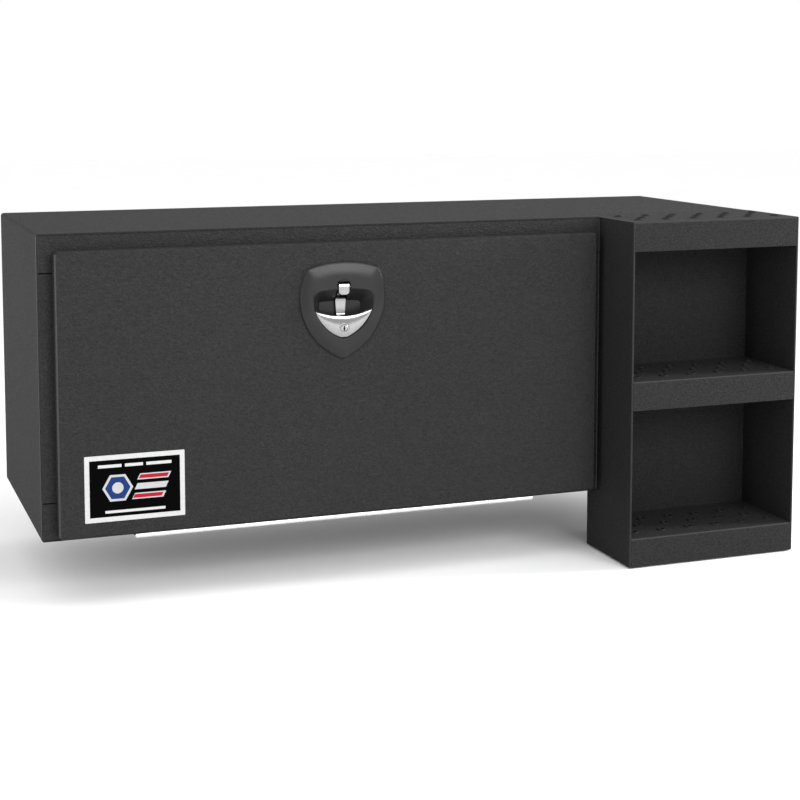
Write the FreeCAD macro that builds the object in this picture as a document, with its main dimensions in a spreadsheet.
import FreeCAD, Part
import Sketcher
import math
import os
import re

# Truck tool box with a drop-down door and a step tower, in millimetres.
# Frame: the origin is the centre of the box's back face. +X runs along the box, +Y points out of the back
# towards the truck, and +Z is up, so the door faces -Y.

SIZES = {
    # main box
    "box_width": 1219.2,
    "box_height": 457.2,
    "box_depth": 419.1,
    "sheet": 3.2,
    # step tower at the right end: it stands proud of the box and is let into a notch in its front corner
    "tower_width": 304.8,
    "tower_depth": 152.4,
    "tower_height": 558.8,
    "tower_inset": 38.1,
    "lip_height": 47.6,
    "button_pitch": 50.8,
    "button_row_pitch": 34.0,
    "button_first_row": 33.6,
    "button_radius": 7.0,
    "button_rise": 2.2,
    "button_hole": 3.4,
    "button_flank": 50.0,
    # face frame round the door opening
    "frame_band": 57.15,
    "frame_return": 25.0,
    "seal_setback": 2.0,
    "seal_width": 12.0,
    "seal_rise": 6.5,
    # door
    "door_left_margin": 22.9,
    "door_right_margin": 14.4,
    "door_top_margin": 24.5,
    "door_foot": 6.2,
    "door_depth": 20.0,
    "door_gap": 1.5,
    "door_sheet": 2.5,
    "liner_sheet": 2.0,
    "liner_set": 11.0,
    # continuous hinge
    "hinge_leaf": 1.5,
    "hinge_knuckle": 26.0,
    "hinge_gap": 0.2,
    "hinge_frame_reach": 40.0,
    "hinge_door_reach": 14.0,
    "hinge_pin_radius": 1.6,
    "running_gap": 0.06,
    "rivet_radius": 3.0,
    "rivet_rise": 1.0,
    "rivet_edge": 8.0,
    # latch, whose pin lies this far under the box's top
    "latch_drop": 95.5,
    "bezel_depth": 7.0,
    "bezel_slope": 35.0,
    "gasket_sheet": 1.0,
    "dish_floor": 15.0,
    "dish_wall": 2.0,
    "latch_pin_set": 3.0,
    "latch_pin_radius": 2.5,
    "latch_pin_half": 13.4,
    "latch_screw_set": 4.5,
    "screw_head_radius": 4.6,
    "screw_head_rise": 3.0,
    "head_half": 8.5,
    "tail_half": 4.0,
    "tail_slot_half": 5.0,
    "pull_back": 5.0,
    "spring_radius": 3.35,
    "spring_wire": 0.7,
    "spring_side": 9.5,
    "handle_proud": 8.6,
    "lock_drop": 62.0,
    "lock_radius": 8.5,
    "plug_radius": 6.0,
    "bolt_half": 10.0,
    "bolt_reach": 34.8,
    "bolt_gap": 0.5,
    "housing_half": 24.0,
    "housing_depth": 15.0,
    "housing_sheet": 1.5,
    "strike_half": 30.0,
    "strike_sheet": 1.5,
    # door stays: stud and pivot lie on one circle round the hinge axis
    "stay_radius": 150.0,
    "stay_pivot_angle": 78.5,
    "stay_stud_angle": 58.5,
    "stay_pin_radius": 4.0,
    "stay_half": 9.0,
    "stay_sheet": 3.0,
    "stay_side_gap": 2.0,
    # fixing holes in the back
    "mount_pitch_wide": 1016.0,
    "mount_pitch_high": 304.8,
    "mount_hole": 5.5,
    # label
    "label_width": 150.0,
    "label_height": 100.0,
    "label_sheet": 0.4,
    "label_left": 61.0,
    "label_drop": 329.0,
}

KNUCKLE_COUNT = 25

# Lines and faces that several sub-parts share, as formulas over the sizes.
LEFT = "(-box_width/2)"
RIGHT = "(box_width/2)"
TOP = "(box_height/2)"
BOTTOM = "(-box_height/2)"
FRONT = "(-box_depth)"
TOWER_LEFT = "(box_width/2 - tower_width)"
TOWER_BACK = "(tower_inset - box_depth)"
TOWER_FRONT = "(tower_inset - box_depth - tower_depth)"
TOWER_FOOT = "(box_height/2 - tower_height)"
TREAD_PITCH = "((tower_height - lip_height)/2)"
DOOR_LEFT = "(door_left_margin - box_width/2)"
DOOR_RIGHT = "(box_width/2 - tower_width - door_right_margin)"
DOOR_TOP = "(box_height/2 - door_top_margin)"
DOOR_FOOT = "(door_foot - box_height/2)"
DOOR_FACE = "(-box_depth - door_depth)"
DOOR_MIDDLE = "((door_left_margin - door_right_margin - tower_width)/2)"
OPENING_LEFT = "(frame_band - box_width/2)"
OPENING_RIGHT = "(box_width/2 - tower_width - frame_band)"
OPENING_TOP = "(box_height/2 - frame_band)"
OPENING_FOOT = "(frame_band - box_height/2)"
HINGE_RADIUS = "((door_foot + hinge_leaf)/2)"
HINGE_Y = "(-box_depth - door_depth + (door_foot + hinge_leaf)/2)"
HINGE_Z = "(-box_height/2 + (door_foot - hinge_leaf)/2)"
HINGE_LEFT = f"({DOOR_MIDDLE} - {KNUCKLE_COUNT}*hinge_knuckle/2)"
LATCH_Z = "(box_height/2 - latch_drop)"
PIVOT_Y = f"({HINGE_Y} + stay_radius*cos(stay_pivot_angle))"
PIVOT_Z = f"({HINGE_Z} + stay_radius*sin(stay_pivot_angle))"
STUD_Y = f"({HINGE_Y} + stay_radius*cos(stay_stud_angle))"
STUD_Z = f"({HINGE_Z} + stay_radius*sin(stay_stud_angle))"

doc = FreeCAD.newDocument("tool_box")
sheet = doc.addObject("Spreadsheet::Sheet", "Sizes")
for row, (alias, size) in enumerate(SIZES.items(), start=1):
    sheet.set(f"A{row}", alias)
    sheet.set(f"B{row}", str(size))
    sheet.setAlias(f"B{row}", alias)
doc.recompute()

sub_parts = []


def formula(text):
    """Point every size's name in a formula at its cell in the sheet."""

    def cell(word):
        return "Sizes." + word[0] if word[0] in SIZES else word[0]

    return re.sub(r"[a-z]+(?:_[a-z]+)*", cell, text)


def bind(thing, **formulas):
    """Bind properties to formulas; a double underscore in a keyword stands for a dot."""
    for path, text in formulas.items():
        thing.setExpression(path.replace("__", "."), formula(text))


def place(thing, x="0", y="0", z="0"):
    bind(thing, Placement__Base__x=x, Placement__Base__y=y, Placement__Base__z=z)
    return thing


def keep(thing, label):
    """Register a finished sub-part under the name of its node."""
    thing.Label = label
    sub_parts.append(thing)
    return thing


# Part primitives

def block(name, x, y, z):
    """A box between pairs of formulas along each axis."""
    box = doc.addObject("Part::Box", name)
    bind(box, Length=f"{x[1]} - {x[0]}", Width=f"{y[1]} - {y[0]}", Height=f"{z[1]} - {z[0]}")
    return place(box, x[0], y[0], z[0])


def rod(name, axis, radius, low, high, first="0", second="0"):
    """A cylinder along axis from low to high; first and second place it on the other two axes in order."""
    cylinder = doc.addObject("Part::Cylinder", name)
    bind(cylinder, Radius=radius, Height=f"{high} - {low}")
    if axis == "x":
        cylinder.Placement.Rotation = FreeCAD.Rotation(FreeCAD.Vector(0, 1, 0), 90)
        return place(cylinder, low, first, second)
    if axis == "y":
        cylinder.Placement.Rotation = FreeCAD.Rotation(FreeCAD.Vector(1, 0, 0), -90)
        return place(cylinder, first, low, second)
    return place(cylinder, first, second, low)


def cut(name, base, tools):
    tool = tools[0] if len(tools) == 1 else fuse(name + "_tools", tools)
    result = doc.addObject("Part::Cut", name)
    result.Base = base
    result.Tool = tool
    return result


def fuse(name, shapes):
    result = doc.addObject("Part::MultiFuse", name)
    result.Shapes = shapes
    return result


def group(name, shapes):
    """Separate solids that share one node."""
    result = doc.addObject("Part::Compound", name)
    result.Links = shapes
    return result


# PartDesign bodies

def new_body(label):
    return keep(doc.addObject("PartDesign::Body", label), label)


def sketch_on(body, name, role, offset="0"):
    """A sketch on one of the body's own origin planes, moved along that plane's normal."""
    sketch = body.newObject("Sketcher::SketchObject", name)
    plane = next(feature for feature in body.Origin.OriginFeatures if feature.Role == role)
    sketch.AttachmentSupport = [(plane, "")]
    sketch.MapMode = "FlatFace"
    bind(sketch, AttachmentOffset__Base__z=offset)
    return sketch


def fix(sketch, kind, geometry, text, point=None):
    """Add one dimension and bind it to a formula."""
    if point is None:
        index = sketch.addConstraint(Sketcher.Constraint(kind, geometry, 1.0))
    else:
        index = sketch.addConstraint(Sketcher.Constraint(kind, -1, 1, geometry, point, 1.0))
    sketch.setExpression(f"Constraints[{index}]", formula(text))


def polygon(sketch, corners):
    """A closed outline whose corners are pairs of formulas."""
    count = len(corners)
    turns = [2*math.pi*i/count for i in range(count)]
    start = [FreeCAD.Vector(math.cos(turn), math.sin(turn), 0) for turn in turns]
    first = sketch.GeometryCount
    for i in range(count):
        sketch.addGeometry(Part.LineSegment(start[i], start[(i + 1) % count]), False)
    for i in range(count):
        sketch.addConstraint(Sketcher.Constraint("Coincident", first + i, 2, first + (i + 1) % count, 1))
    for i, (across, up) in enumerate(corners):
        fix(sketch, "DistanceX", first + i, across, 1)
        fix(sketch, "DistanceY", first + i, up, 1)
    return sketch


def circle(sketch, across, up, radius):
    index = sketch.addGeometry(Part.Circle(FreeCAD.Vector(0, 0, 0), FreeCAD.Vector(0, 0, 1), 1.0), False)
    fix(sketch, "DistanceX", index, across, 3)
    fix(sketch, "DistanceY", index, up, 3)
    fix(sketch, "Radius", index, radius)
    return sketch


def rectangle(sketch, x, z):
    return polygon(sketch, [(x[0], z[0]), (x[1], z[0]), (x[1], z[1]), (x[0], z[1])])


def outline(sketch, pieces):
    """A fixed free-form outline: two points make a line and three make an arc through the middle one."""
    for points in pieces:
        ends = [FreeCAD.Vector(across, up, 0) for across, up in points]
        edge = Part.LineSegment(*ends) if len(ends) == 2 else Part.Arc(*ends)
        index = sketch.addGeometry(edge, False)
        sketch.addConstraint(Sketcher.Constraint("Block", index))
    return sketch


def mirrored(pieces):
    """The same half outline on the other side of the middle, in the order that closes the loop."""
    other = [[(-across, up) for across, up in reversed(points)] for points in reversed(pieces)]
    return pieces + other


def pad(body, sketch, length, reverse=False, taper="0"):
    feature = body.newObject("PartDesign::Pad", sketch.Name + "_pad")
    feature.Profile = sketch
    feature.Reversed = reverse
    bind(feature, Length=length, TaperAngle=taper)
    body.Tip = feature
    return feature


def pocket(body, sketch, length=None, reverse=False):
    """Cut a sketch out of the body, right through when no length is given, and check that it cut."""
    before = body.Tip
    feature = body.newObject("PartDesign::Pocket", sketch.Name + "_pocket")
    feature.Profile = sketch
    feature.Reversed = reverse
    if length is None:
        feature.Type = "ThroughAll"
        feature.Midplane = True
    else:
        bind(feature, Length=length)
    body.Tip = feature
    doc.recompute()
    if feature.Shape.Volume >= before.Shape.Volume - 1e-6:
        raise RuntimeError(sketch.Name + " cuts nothing")
    return feature


# Main box

def notched_sheet(label, z_low):
    """Top or bottom sheet: the full footprint with the corner behind the tower cut away."""
    body = new_body(label)
    sketch = sketch_on(body, label + "_outline", "XY_Plane", z_low)
    polygon(sketch, [(LEFT, FRONT), (TOWER_LEFT, FRONT), (TOWER_LEFT, TOWER_BACK), (RIGHT, TOWER_BACK),
                     (RIGHT, "0"), (LEFT, "0")])
    pad(body, sketch, "sheet")


def back_panel():
    """Back sheet with the four fixing holes."""
    plate = block("back_sheet", (f"({LEFT} + sheet)", f"({RIGHT} - sheet)"), ("(-sheet)", "0"),
                  (f"({BOTTOM} + sheet)", f"({TOP} - sheet)"))
    holes = []
    for across in (-1, 1):
        for up in (-1, 1):
            holes.append(rod("mount_hole_tool", "y", "mount_hole", "(-2*sheet)", "sheet",
                             f"{across}*mount_pitch_wide/2", f"{up}*mount_pitch_high/2"))
    keep(cut("back_panel_cut", plate, holes), "back_panel")


def end_panels():
    inner = (f"({BOTTOM} + sheet)", f"({TOP} - sheet)")
    keep(block("left_end", (LEFT, f"({LEFT} + sheet)"), (FRONT, "0"), inner), "left_end_panel")
    keep(block("right_end", (f"({RIGHT} - sheet)", RIGHT), (TOWER_BACK, "0"), inner), "right_end_panel")


def notch_closure():
    """One bent sheet closes the box's side and front behind the tower."""
    body = new_body("notch_closure")
    sketch = sketch_on(body, "closure_bend", "XY_Plane", f"({BOTTOM} + sheet)")
    polygon(sketch, [(f"{TOWER_LEFT} - sheet", FRONT), (TOWER_LEFT, FRONT), (TOWER_LEFT, TOWER_BACK),
                     (f"{RIGHT} - sheet", TOWER_BACK), (f"{RIGHT} - sheet", f"{TOWER_BACK} + sheet"),
                     (f"{TOWER_LEFT} - sheet", f"{TOWER_BACK} + sheet")])
    pad(body, sketch, "box_height - 2*sheet")


def frame_rail(label, edge, lip):
    """Header or sill: an angle along the whole front, bent inwards at the opening."""
    body = new_body(label)
    sketch = sketch_on(body, label + "_section", "YZ_Plane", f"{LEFT} + sheet")
    side = "-" if lip == OPENING_FOOT else "+"
    polygon(sketch, [(FRONT, edge), (FRONT, lip), (f"{FRONT} + frame_return", lip),
                     (f"{FRONT} + frame_return", f"{lip} {side} sheet"),
                     (f"{FRONT} + sheet", f"{lip} {side} sheet"), (f"{FRONT} + sheet", edge)])
    pad(body, sketch, "box_width - tower_width - 2*sheet")


def frame_jamb(label, edge, lip):
    """Upright of the face frame, bent inwards at the opening."""
    body = new_body(label)
    sketch = sketch_on(body, label + "_section", "XY_Plane", OPENING_FOOT)
    side = "-" if lip == OPENING_LEFT else "+"
    polygon(sketch, [(edge, FRONT), (lip, FRONT), (lip, f"{FRONT} + frame_return"),
                     (f"{lip} {side} sheet", f"{FRONT} + frame_return"),
                     (f"{lip} {side} sheet", f"{FRONT} + sheet"), (edge, f"{FRONT} + sheet")])
    pad(body, sketch, "box_height - 2*frame_band")


def door_seal():
    """Bulb seal: one ring on the face frame round the opening."""
    body = new_body("door_seal")
    outer = "(seal_setback + seal_width)"
    ring = sketch_on(body, "seal_ring", "XZ_Plane", "box_depth")
    rectangle(ring, (f"{OPENING_LEFT} - {outer}", f"{OPENING_RIGHT} + {outer}"),
              (f"{OPENING_FOOT} - {outer}", f"{OPENING_TOP} + {outer}"))
    rectangle(ring, (f"{OPENING_LEFT} - seal_setback", f"{OPENING_RIGHT} + seal_setback"),
              (f"{OPENING_FOOT} - seal_setback", f"{OPENING_TOP} + seal_setback"))
    pad(body, ring, "seal_rise")


# Step tower

def tower_walls():
    depth = (TOWER_FRONT, TOWER_BACK)
    rise = (TOWER_FOOT, TOP)
    keep(block("tower_left", (TOWER_LEFT, f"({TOWER_LEFT} + sheet)"), depth, rise), "tower_left_side")
    keep(block("tower_right", (f"({RIGHT} - sheet)", RIGHT), depth, rise), "tower_right_side")
    keep(block("tower_rear", (f"({TOWER_LEFT} + sheet)", f"({RIGHT} - sheet)"),
               (f"({TOWER_BACK} - sheet)", TOWER_BACK), rise), "tower_back")


def button_places():
    """Staggered rows: six, five and six raised buttons."""
    middle = "(box_width/2 - tower_width/2)"
    for line, count in enumerate((6, 5, 6)):
        for i in range(count):
            yield (f"{middle} + {i - (count - 1)/2}*button_pitch",
                   f"{TOWER_FRONT} + button_first_row + {line}*button_row_pitch")


def tread(label, level):
    """A tread with a turned-down front lip, raised anti-slip buttons and a hole in each button."""
    body = new_body(label)
    top = f"({TOP} - {level}*{TREAD_PITCH})"
    section = sketch_on(body, label + "_section", "YZ_Plane", f"{TOWER_LEFT} + sheet")
    polygon(section, [(TOWER_FRONT, top), (TOWER_FRONT, f"{top} - lip_height"),
                      (f"{TOWER_FRONT} + sheet", f"{top} - lip_height"),
                      (f"{TOWER_FRONT} + sheet", f"{top} - sheet"),
                      (f"{TOWER_BACK} - sheet", f"{top} - sheet"), (f"{TOWER_BACK} - sheet", top)])
    pad(body, section, "tower_width - 2*sheet")
    buttons = sketch_on(body, label + "_buttons", "XY_Plane", top)
    for across, back in button_places():
        circle(buttons, across, back, "button_radius")
    pad(body, buttons, "button_rise", taper="-button_flank")
    holes = sketch_on(body, label + "_holes", "XY_Plane", top)
    for across, back in button_places():
        circle(holes, across, back, "button_hole")
    pocket(body, holes)


# Door

def door_pan():
    """Outer pan: a folded tray with the latch opening and the four latch screw holes."""
    body = new_body("door_outer_pan")
    wide = (DOOR_LEFT, DOOR_RIGHT)
    high = (DOOR_FOOT, DOOR_TOP)
    blank = sketch_on(body, "pan_blank", "XZ_Plane", "box_depth + door_gap")
    rectangle(blank, wide, high)
    pad(body, blank, "door_depth - door_gap")
    hollow = sketch_on(body, "pan_hollow", "XZ_Plane", "box_depth + door_gap")
    rectangle(hollow, (f"{wide[0]} + door_sheet", f"{wide[1]} - door_sheet"),
              (f"{high[0]} + door_sheet", f"{high[1]} - door_sheet"))
    pocket(body, hollow, "door_depth - door_gap - door_sheet", reverse=True)
    latch_opening(body, "pan")
    screws = sketch_on(body, "pan_screw_holes", "XZ_Plane", "box_depth")
    for across, up in LATCH_SCREWS:
        circle(screws, f"{DOOR_MIDDLE} + {across}", f"{LATCH_Z} + {up}", "latch_pin_radius")
    pocket(body, screws)


def latch_opening(body, name):
    """The six-sided opening that the latch dish drops through."""
    cutout = sketch_on(body, name + "_latch_opening", "XZ_Plane", "box_depth")
    polygon(cutout, [(f"{DOOR_MIDDLE} + {across}", f"{LATCH_Z} + {up}") for across, up in LATCH_HOLE])
    pocket(body, cutout)


def door_liner():
    """Inner panel set inside the pan's rim."""
    body = new_body("door_inner_panel")
    blank = sketch_on(body, "liner_blank", "XZ_Plane", "box_depth + door_depth - liner_set - liner_sheet")
    rectangle(blank, (f"{DOOR_LEFT} + door_sheet", f"{DOOR_RIGHT} - door_sheet"),
              (f"{DOOR_FOOT} + door_sheet", f"{DOOR_TOP} - door_sheet"))
    pad(body, blank, "liner_sheet")
    latch_opening(body, "liner")


def label_plate():
    left = f"({LEFT} + label_left)"
    top = f"({TOP} - label_drop)"
    keep(block("label", (left, f"({left} + label_width)"), (f"({DOOR_FACE} - label_sheet)", DOOR_FACE),
               (f"({top} - label_height)", top)), "label_plate")


# Continuous hinge: 25 knuckles, the odd ones on the frame leaf and the even ones on the door leaf

def hinge_leaf(label, first, low, reach, bore_radius):
    """A leaf strip with every other knuckle; the leaf's sheet starts at the height low."""
    knuckle_span = "(hinge_knuckle - hinge_gap)"
    clear = f"({HINGE_Y} + {HINGE_RADIUS} + hinge_gap + hinge_leaf/2)"
    pieces = [block(label + "_strip", (HINGE_LEFT, f"({HINGE_LEFT} + {KNUCKLE_COUNT}*hinge_knuckle)"),
                    (clear, f"({HINGE_Y} + {reach})"), (low, f"({low} + hinge_leaf)"))]
    for i in range(first, KNUCKLE_COUNT, 2):
        start = f"({HINGE_LEFT} + {i}*hinge_knuckle)"
        end = f"({start} + {knuckle_span})"
        pieces.append(rod("knuckle", "x", HINGE_RADIUS, start, end, HINGE_Y, HINGE_Z))
        pieces.append(block("knuckle_tab", (start, end), (HINGE_Y, f"({clear} + hinge_leaf)"),
                            (low, f"({low} + hinge_leaf)")))
    bore = rod("knuckle_bore", "x", bore_radius, f"({HINGE_LEFT} - hinge_knuckle)",
               f"({HINGE_LEFT} + {KNUCKLE_COUNT + 1}*hinge_knuckle)", HINGE_Y, HINGE_Z)
    keep(cut(label + "_cut", fuse(label + "_solid", pieces), [bore]), label)


def hinge():
    hinge_leaf("hinge_frame_leaf", 0, f"({BOTTOM} - hinge_leaf)", "hinge_frame_reach", "hinge_pin_radius")
    hinge_leaf("hinge_door_leaf", 1, f"({DOOR_FOOT} - hinge_leaf)", "hinge_door_reach",
               "(hinge_pin_radius + running_gap)")
    keep(rod("hinge_rod", "x", "hinge_pin_radius", f"({HINGE_LEFT} - 1)",
             f"({HINGE_LEFT} + {KNUCKLE_COUNT}*hinge_knuckle + 1)", HINGE_Y, HINGE_Z), "hinge_pin")
    heads = []
    for i in range(2, KNUCKLE_COUNT, 4):
        across = f"({HINGE_LEFT} + {i + 0.5}*hinge_knuckle)"
        heads.append(rod("rivet_head", "z", "rivet_radius", f"({BOTTOM} - hinge_leaf - rivet_rise)",
                         f"({BOTTOM} - hinge_leaf)", across, f"({HINGE_Y} + hinge_frame_reach - rivet_edge)"))
    keep(group("rivet_group", heads), "hinge_rivets")


# Latch. Its bodies are drawn round the handle pin's middle and placed on the door.

LATCH_HOLE = [(-51, 21), (51, 21), (51, -40), (24, -83), (-24, -83), (-51, -40)]
LATCH_SCREWS = [(-52, 14), (52, 14), (-52, -48), (52, -48)]

SHIELD = [
    [(0.0, 40.2), (30.0, 37.9), (57.0, 31.0)],
    [(57.0, 31.0), (60.0, 29.0), (61.6, 25.5)],
    [(61.6, 25.5), (69.0, -14.0), (60.0, -54.0)],
    [(60.0, -54.0), (39.0, -84.5), (9.0, -106.0)],
    [(9.0, -106.0), (4.6, -108.6), (0.0, -109.4)],
]

# Right half of the pull's crescent.
CRESCENT = [
    [(0.0, -43.0), (23.0, -40.8), (44.6, -33.6)],
    [(44.6, -33.6), (46.2, -33.4), (45.4, -35.2)],
    [(45.4, -35.2), (27.6, -61.6), (2.6, -76.2)],
    [(2.6, -76.2), (1.4, -76.8), (0.0, -76.9)],
]

# The pull's link seen from the side: head, drive tail through the dish, and the stem down to the crescent.
LINK = [
    [(-8.6, 3.6), (-5.4, 6.6)],
    [(-5.4, 6.6), (7.4, 6.6)],
    [(7.4, 6.6), (8.4, 2.4)],
    [(8.4, 2.4), (27.0, 2.4)],
    [(27.0, 2.4), (27.0, -2.4)],
    [(27.0, -2.4), (8.6, -2.4)],
    [(8.6, -2.4), (13.0, -14.0)],
    [(13.0, -14.0), (13.0, -46.0)],
    [(13.0, -46.0), (-5.0, -58.0)],
    [(-5.0, -58.0), (-5.0, -50.0)],
    [(-5.0, -50.0), (9.0, -41.0)],
    [(9.0, -41.0), (9.0, -15.0)],
    [(9.0, -15.0), (3.0, -8.6)],
    [(3.0, -8.6), (-3.0, -9.6), (-8.6, -5.4)],
    [(-8.6, -5.4), (-8.6, 3.6)],
]


def dish_half(grow):
    """Right half of the dish's outline, from the top of the head notch to the bottom point."""
    return [
        [(0.0, 16.5 + grow), (7.8 + grow*0.7, 13.3 + grow*0.7), (11.0 + grow, 5.5)],
        [(11.0 + grow, 5.5), (11.0 + grow, -1.6 + grow)],
        [(11.0 + grow, -1.6 + grow), (38.0, -4.0 + grow)],
        [(38.0, -4.0 + grow), (45.0 + grow*0.7, -6.2 + grow*0.7), (48.0 + grow, -13.0)],
        [(48.0 + grow, -13.0), (47.0 + grow, -34.0)],
        [(47.0 + grow, -34.0), (29.0 + grow*0.8, -62.0 - grow*0.7), (3.0, -77.4 - grow)],
        [(3.0, -77.4 - grow), (1.6, -78.0 - grow), (0.0, -78.2 - grow)],
    ]


def on_latch(thing):
    return place(thing, DOOR_MIDDLE, DOOR_FACE, LATCH_Z)


def latch_bezel():
    """Shield-shaped bezel with a sloping rim, open over the dish and drilled for its four screws."""
    body = on_latch(new_body("latch_bezel"))
    shield = sketch_on(body, "bezel_shield", "XZ_Plane", "gasket_sheet")
    outline(shield, mirrored(SHIELD))
    pad(body, shield, "bezel_depth", taper="-bezel_slope")
    opening = sketch_on(body, "bezel_opening", "XZ_Plane")
    outline(opening, mirrored(dish_half(0.0)))
    pocket(body, opening)
    holes = sketch_on(body, "bezel_screw_holes", "XZ_Plane", "latch_screw_set + 0.5")
    for across, up in LATCH_SCREWS:
        circle(holes, str(across), str(up), "latch_pin_radius")
    pocket(body, holes, "latch_screw_set + 0.5 - gasket_sheet")


def latch_gasket():
    """Thin gasket between bezel and door."""
    body = on_latch(new_body("latch_gasket"))
    shape = sketch_on(body, "gasket_shape", "XZ_Plane")
    outline(shape, mirrored(SHIELD))
    pad(body, shape, "gasket_sheet")
    opening = sketch_on(body, "gasket_opening", "XZ_Plane")
    outline(opening, mirrored(dish_half(2.6)))
    pocket(body, opening)
    holes = sketch_on(body, "gasket_holes", "XZ_Plane")
    for across, up in LATCH_SCREWS:
        circle(holes, str(across), str(up), "latch_pin_radius")
    pocket(body, holes)


def latch_dish():
    """Pressed cup behind the bezel, with the slot for the handle's tail and the bores that hold its pin."""
    body = on_latch(new_body("latch_dish"))
    cup = sketch_on(body, "dish_cup", "XZ_Plane", "-dish_floor - dish_wall")
    outline(cup, mirrored(dish_half(2.5)))
    pad(body, cup, "dish_floor + dish_wall + gasket_sheet")
    hollow = sketch_on(body, "dish_hollow", "XZ_Plane", "gasket_sheet")
    outline(hollow, mirrored(dish_half(0.0)))
    pocket(body, hollow, "dish_floor + gasket_sheet")
    slot = sketch_on(body, "dish_tail_slot", "XZ_Plane", "-dish_floor + 1")
    rectangle(slot, ("-tail_slot_half", "tail_slot_half"), ("-13", "3.6"))
    pocket(body, slot, "dish_wall + 2")
    bore = sketch_on(body, "dish_pin_bore", "YZ_Plane")
    circle(bore, "latch_pin_set", "0", "latch_pin_radius")
    pocket(body, bore)


def latch_pin():
    pin = rod("handle_pin_rod", "x", "latch_pin_radius", f"({DOOR_MIDDLE} - latch_pin_half)",
              f"({DOOR_MIDDLE} + latch_pin_half)", f"({DOOR_FACE} + latch_pin_set)", LATCH_Z)
    keep(pin, "handle_pin")


def paddle_handle():
    """Pull: a crescent that closes the lower dish, a swept link up to the pinned head, and a drive tail."""
    body = on_latch(new_body("paddle_handle"))
    link = sketch_on(body, "handle_link", "YZ_Plane", "-head_half")
    outline(link, LINK)
    pad(body, link, "2*head_half")
    for side in (-1, 1):
        trim = sketch_on(body, "tail_trim_left" if side < 0 else "tail_trim_right", "YZ_Plane",
                         f"{side}*(head_half + 1)")
        rectangle(trim, ("9.6", "27.2"), ("-2.6", "2.6"))
        pocket(body, trim, "head_half + 1 - tail_half", reverse=side < 0)
    crescent = sketch_on(body, "handle_crescent", "XZ_Plane", "pull_back")
    outline(crescent, mirrored(CRESCENT))
    pad(body, crescent, "handle_proud - pull_back")
    boss = sketch_on(body, "handle_boss", "XZ_Plane", "-6")
    circle(boss, "0", "-lock_drop", "lock_radius + 2")
    pad(body, boss, "12")
    barrel_bore = sketch_on(body, "handle_lock_bore", "XZ_Plane")
    circle(barrel_bore, "0", "-lock_drop", "lock_radius")
    pocket(body, barrel_bore)
    pin_bore = sketch_on(body, "handle_pin_bore", "YZ_Plane")
    circle(pin_bore, "latch_pin_set", "0", "latch_pin_radius + running_gap")
    pocket(body, pin_bore)


def lock():
    """Lock barrel in the handle, and the plug that the key turns in it."""
    height = f"({LATCH_Z} - lock_drop)"
    face = f"({DOOR_FACE} - handle_proud)"
    shell = rod("barrel_rod", "y", "lock_radius", face, f"({DOOR_FACE} + 10)", DOOR_MIDDLE, height)
    bore = rod("barrel_bore", "y", "(plug_radius + running_gap)", f"({face} - 1)", f"({DOOR_FACE} + 11)",
               DOOR_MIDDLE, height)
    keep(cut("barrel_cut", shell, [bore]), "lock_barrel")
    plug = rod("plug_rod", "y", "plug_radius", f"({face} - 0.4)", f"({DOOR_FACE} + 9)", DOOR_MIDDLE, height)
    keyway = block("keyway", (f"({DOOR_MIDDLE} - 0.9)", f"({DOOR_MIDDLE} + 0.9)"),
                   (f"({face} - 1)", f"({DOOR_FACE} + 4)"), (f"({height} - 3.6)", f"({height} + 3.6)"))
    keep(cut("plug_cut", plug, [keyway]), "lock_plug")


def return_spring():
    """Torsion spring round the handle pin, drawn as one closed turn on each side of the head."""
    turns = []
    for side in (-1, 1):
        ring = doc.addObject("Part::Torus", "spring_turn")
        bind(ring, Radius1="spring_radius", Radius2="spring_wire")
        ring.Placement.Rotation = FreeCAD.Rotation(FreeCAD.Vector(0, 1, 0), 90)
        place(ring, f"{DOOR_MIDDLE} + {side}*spring_side", f"{DOOR_FACE} + latch_pin_set", LATCH_Z)
        turns.append(ring)
    keep(group("spring_turns", turns), "handle_spring")


def latch_housing():
    """Open-fronted case on the dish's back that guides the bolt."""
    back = f"({DOOR_FACE} + dish_floor + dish_wall)"
    case = block("housing_case", (f"({DOOR_MIDDLE} - housing_half)", f"({DOOR_MIDDLE} + housing_half)"),
                 (back, f"({back} + housing_depth)"), (f"({LATCH_Z} - 34)", f"({LATCH_Z} + 18)"))
    inner = "(housing_half - housing_sheet)"
    hollow = block("housing_hollow", (f"({DOOR_MIDDLE} - {inner})", f"({DOOR_MIDDLE} + {inner})"),
                   (f"({back} - 1)", f"({back} + housing_depth - housing_sheet)"),
                   (f"({LATCH_Z} - 34 + housing_sheet)", f"({LATCH_Z} + 18 - housing_sheet)"))
    guide = "(bolt_half + bolt_gap)"
    slot = block("housing_slot", (f"({DOOR_MIDDLE} - {guide})", f"({DOOR_MIDDLE} + {guide})"),
                 (f"({DOOR_FACE} + 20 - bolt_gap)", f"({DOOR_FACE} + 26 + bolt_gap)"),
                 (f"({LATCH_Z} + 10)", f"({LATCH_Z} + 20)"))
    keep(cut("housing_cut", case, [hollow, slot]), "latch_housing")


def latch_bolt():
    """Sliding bolt with the window that the handle's tail drives and a sloping nose."""
    body = on_latch(new_body("latch_bolt"))
    side = sketch_on(body, "bolt_side", "YZ_Plane", "-bolt_half")
    polygon(side, [("20", "-16"), ("26", "-16"), ("26", "bolt_reach - 5"), ("22.5", "bolt_reach"),
                   ("20", "bolt_reach")])
    pad(body, side, "2*bolt_half")
    window = sketch_on(body, "bolt_window", "XZ_Plane")
    rectangle(window, ("-tail_slot_half", "tail_slot_half"), ("-6.5", "6.5"))
    pocket(body, window)


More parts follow.
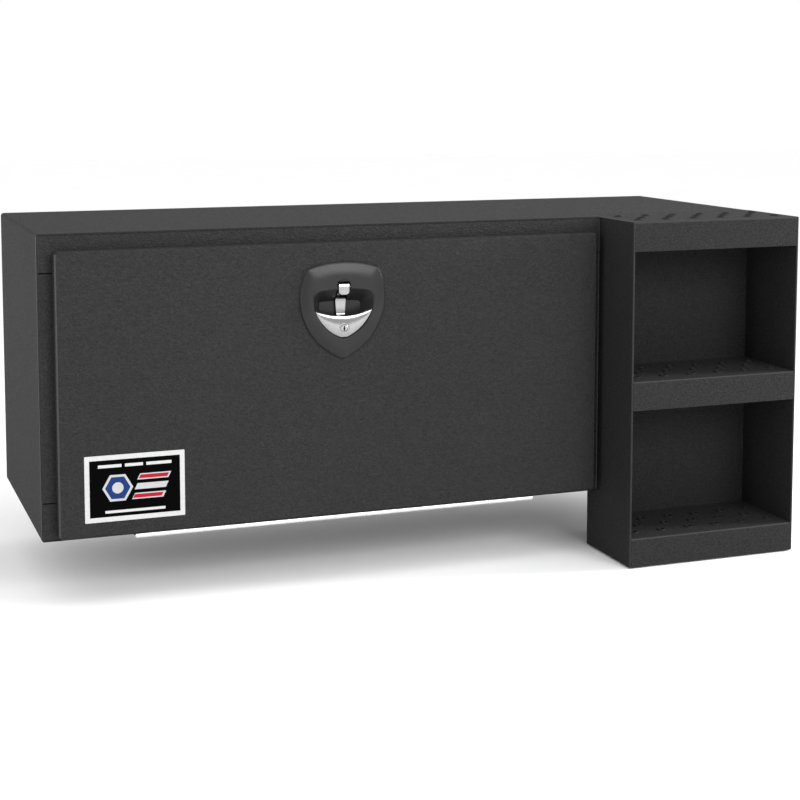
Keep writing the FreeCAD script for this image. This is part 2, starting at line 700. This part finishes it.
def latch_screws():
    """Four screws from inside the door into the bezel."""
    screws = []
    for index, (across, up) in enumerate(LATCH_SCREWS):
        middle = (f"({DOOR_MIDDLE} + {across})", f"({LATCH_Z} + {up})")
        shank = rod(f"screw_shank_{index}", "y", "latch_pin_radius", f"({DOOR_FACE} - latch_screw_set)",
                    f"({DOOR_FACE} + door_sheet)", *middle)
        head = rod(f"screw_head_{index}", "y", "screw_head_radius", f"({DOOR_FACE} + door_sheet)",
                   f"({DOOR_FACE} + door_sheet + screw_head_rise)", *middle)
        screws.append(fuse(f"screw_{index}", [shank, head]))
    keep(group("screw_group", screws), "latch_screws")


def strike_plate():
    """Plate under the header that the bolt closes against."""
    keep(block("strike", (f"({DOOR_MIDDLE} - strike_half)", f"({DOOR_MIDDLE} + strike_half)"),
               (f"({FRONT} + 1)", f"({FRONT} + frame_return)"),
               (f"({OPENING_TOP} - strike_sheet)", OPENING_TOP)), "strike_plate")


# Door stays: a slotted arm on each side turns on the door and slides on a stud on the box. Stud and pivot are
# equally far from the hinge axis, so the arm turns half as fast as the door.

def stay_side(name, side):
    """One stay; side is 1 for the left of the opening and -1 for the right, and points to its middle."""
    edge = OPENING_LEFT if side > 0 else OPENING_RIGHT

    def across(low, high):
        pair = (f"({edge} + {side}*({low}))", f"({edge} + {side}*({high}))")
        return pair if side > 0 else pair[::-1]

    plate = block(name + "_plate", across("0", "stay_sheet"), (f"({FRONT} + 4)", f"({STUD_Y} + 12)"),
                  (f"({STUD_Z} - 14)", f"({STUD_Z} + 14)"))
    arm_low = "stay_sheet + stay_side_gap"
    arm_high = f"{arm_low} + stay_sheet"
    stud = rod(name + "_stud", "x", "stay_pin_radius", *across("stay_sheet - 1", f"{arm_high} + 0.6"),
               STUD_Y, STUD_Z)
    stud_head = rod(name + "_stud_head", "x", "stay_pin_radius + 2.5",
                    *across(f"{arm_high} + 0.6", f"{arm_high} + 2.6"), STUD_Y, STUD_Z)
    keep(fuse(name + "_bracket", [plate, stud, stud_head]), f"stay_bracket_{name}")

    low, high = across(arm_low, arm_high)
    closed = "(2*stay_radius*sin((stay_pivot_angle - stay_stud_angle)/2))"
    opened = "(2*stay_radius*sin((stay_pivot_angle - stay_stud_angle + 90)/2))"
    slot_half = "(stay_pin_radius + 0.5)"
    thick = ("0", "stay_sheet")
    solid = fuse(name + "_arm_solid", [
        block(name + "_arm_bar", thick, ("0", opened), ("(-stay_half)", "stay_half")),
        rod(name + "_arm_root", "x", "stay_half", *thick),
        rod(name + "_arm_tip", "x", "stay_half", *thick, opened),
    ])
    through = ("(-1)", "(stay_sheet + 1)")
    arm = cut(name + "_arm", solid, [
        rod(name + "_pivot_bore", "x", "stay_pin_radius + running_gap", *through),
        block(name + "_slot_bar", through, (f"({closed} - 1)", f"({opened} + 1)"),
              (f"(-{slot_half})", slot_half)),
        rod(name + "_slot_root", "x", slot_half, *through, f"({closed} - 1)"),
        rod(name + "_slot_tip", "x", slot_half, *through, f"({opened} + 1)"),
    ])
    arm.Placement.Rotation = FreeCAD.Rotation(FreeCAD.Vector(1, 0, 0), 1)
    bind(arm, Placement__Rotation__Angle="(stay_pivot_angle + stay_stud_angle)/2 - 90")
    keep(place(arm, low, PIVOT_Y, PIVOT_Z), f"stay_arm_{name}")

    liner_face = f"({DOOR_FACE} + liner_set + liner_sheet)"
    foot = block(name + "_foot", across(f"{arm_high} + 1", f"{arm_high} + 22"),
                 (liner_face, f"({liner_face} + stay_sheet)"), (f"({PIVOT_Z} - 12)", f"({PIVOT_Z} + 12)"))
    ear = block(name + "_ear", across(f"{arm_high} + 1", f"{arm_high} + 1 + stay_sheet"),
                (liner_face, f"({PIVOT_Y} + 9)"), (f"({PIVOT_Z} - 9)", f"({PIVOT_Z} + 9)"))
    pivot = rod(name + "_pivot", "x", "stay_pin_radius", *across(f"{arm_low} - 0.5", f"{arm_high} + 2"),
                PIVOT_Y, PIVOT_Z)
    keep(fuse(name + "_door_bracket", [foot, ear, pivot]), f"stay_pivot_bracket_{name}")


notched_sheet("top_panel", f"{TOP} - sheet")
notched_sheet("bottom_panel", BOTTOM)
back_panel()
end_panels()
notch_closure()
frame_rail("header_channel", f"{TOP} - sheet", OPENING_TOP)
frame_rail("sill_channel", f"{BOTTOM} + sheet", OPENING_FOOT)
frame_jamb("left_jamb", f"{LEFT} + sheet", OPENING_LEFT)
frame_jamb("right_jamb", f"{TOWER_LEFT} - sheet", OPENING_RIGHT)
door_seal()
tower_walls()
for level, label in enumerate(("tread_top", "tread_middle", "tread_bottom")):
    tread(label, level)
door_pan()
door_liner()
label_plate()
hinge()
latch_bezel()
latch_gasket()
latch_dish()
latch_pin()
paddle_handle()
lock()
return_spring()
latch_housing()
latch_bolt()
latch_screws()
strike_plate()
stay_side("left", 1)
stay_side("right", -1)

doc.recompute()
for thing in doc.Objects:
    if "Invalid" in thing.State or "Error" in thing.State:
        raise RuntimeError(f"{thing.Label} failed: {thing.State}")
for part in sub_parts:
    if part.Shape.isNull() or not part.Shape.isValid() or not part.Shape.Solids:
        raise RuntimeError(f"{part.Label} has no valid shape")

os.makedirs("parts", exist_ok=True)
for part in sub_parts:
    part.Shape.exportStep(f"parts/{part.Label}.step")
    box = part.Shape.BoundBox
    print(f"{part.Label:24s} solids {len(part.Shape.Solids):2d} volume {part.Shape.Volume/1000:9.2f} cm3 "
          f"x {box.XMin:8.1f} {box.XMax:8.1f} y {box.YMin:8.1f} {box.YMax:8.1f} "
          f"z {box.ZMin:8.1f} {box.ZMax:8.1f}")
print(len(sub_parts), "sub-parts")
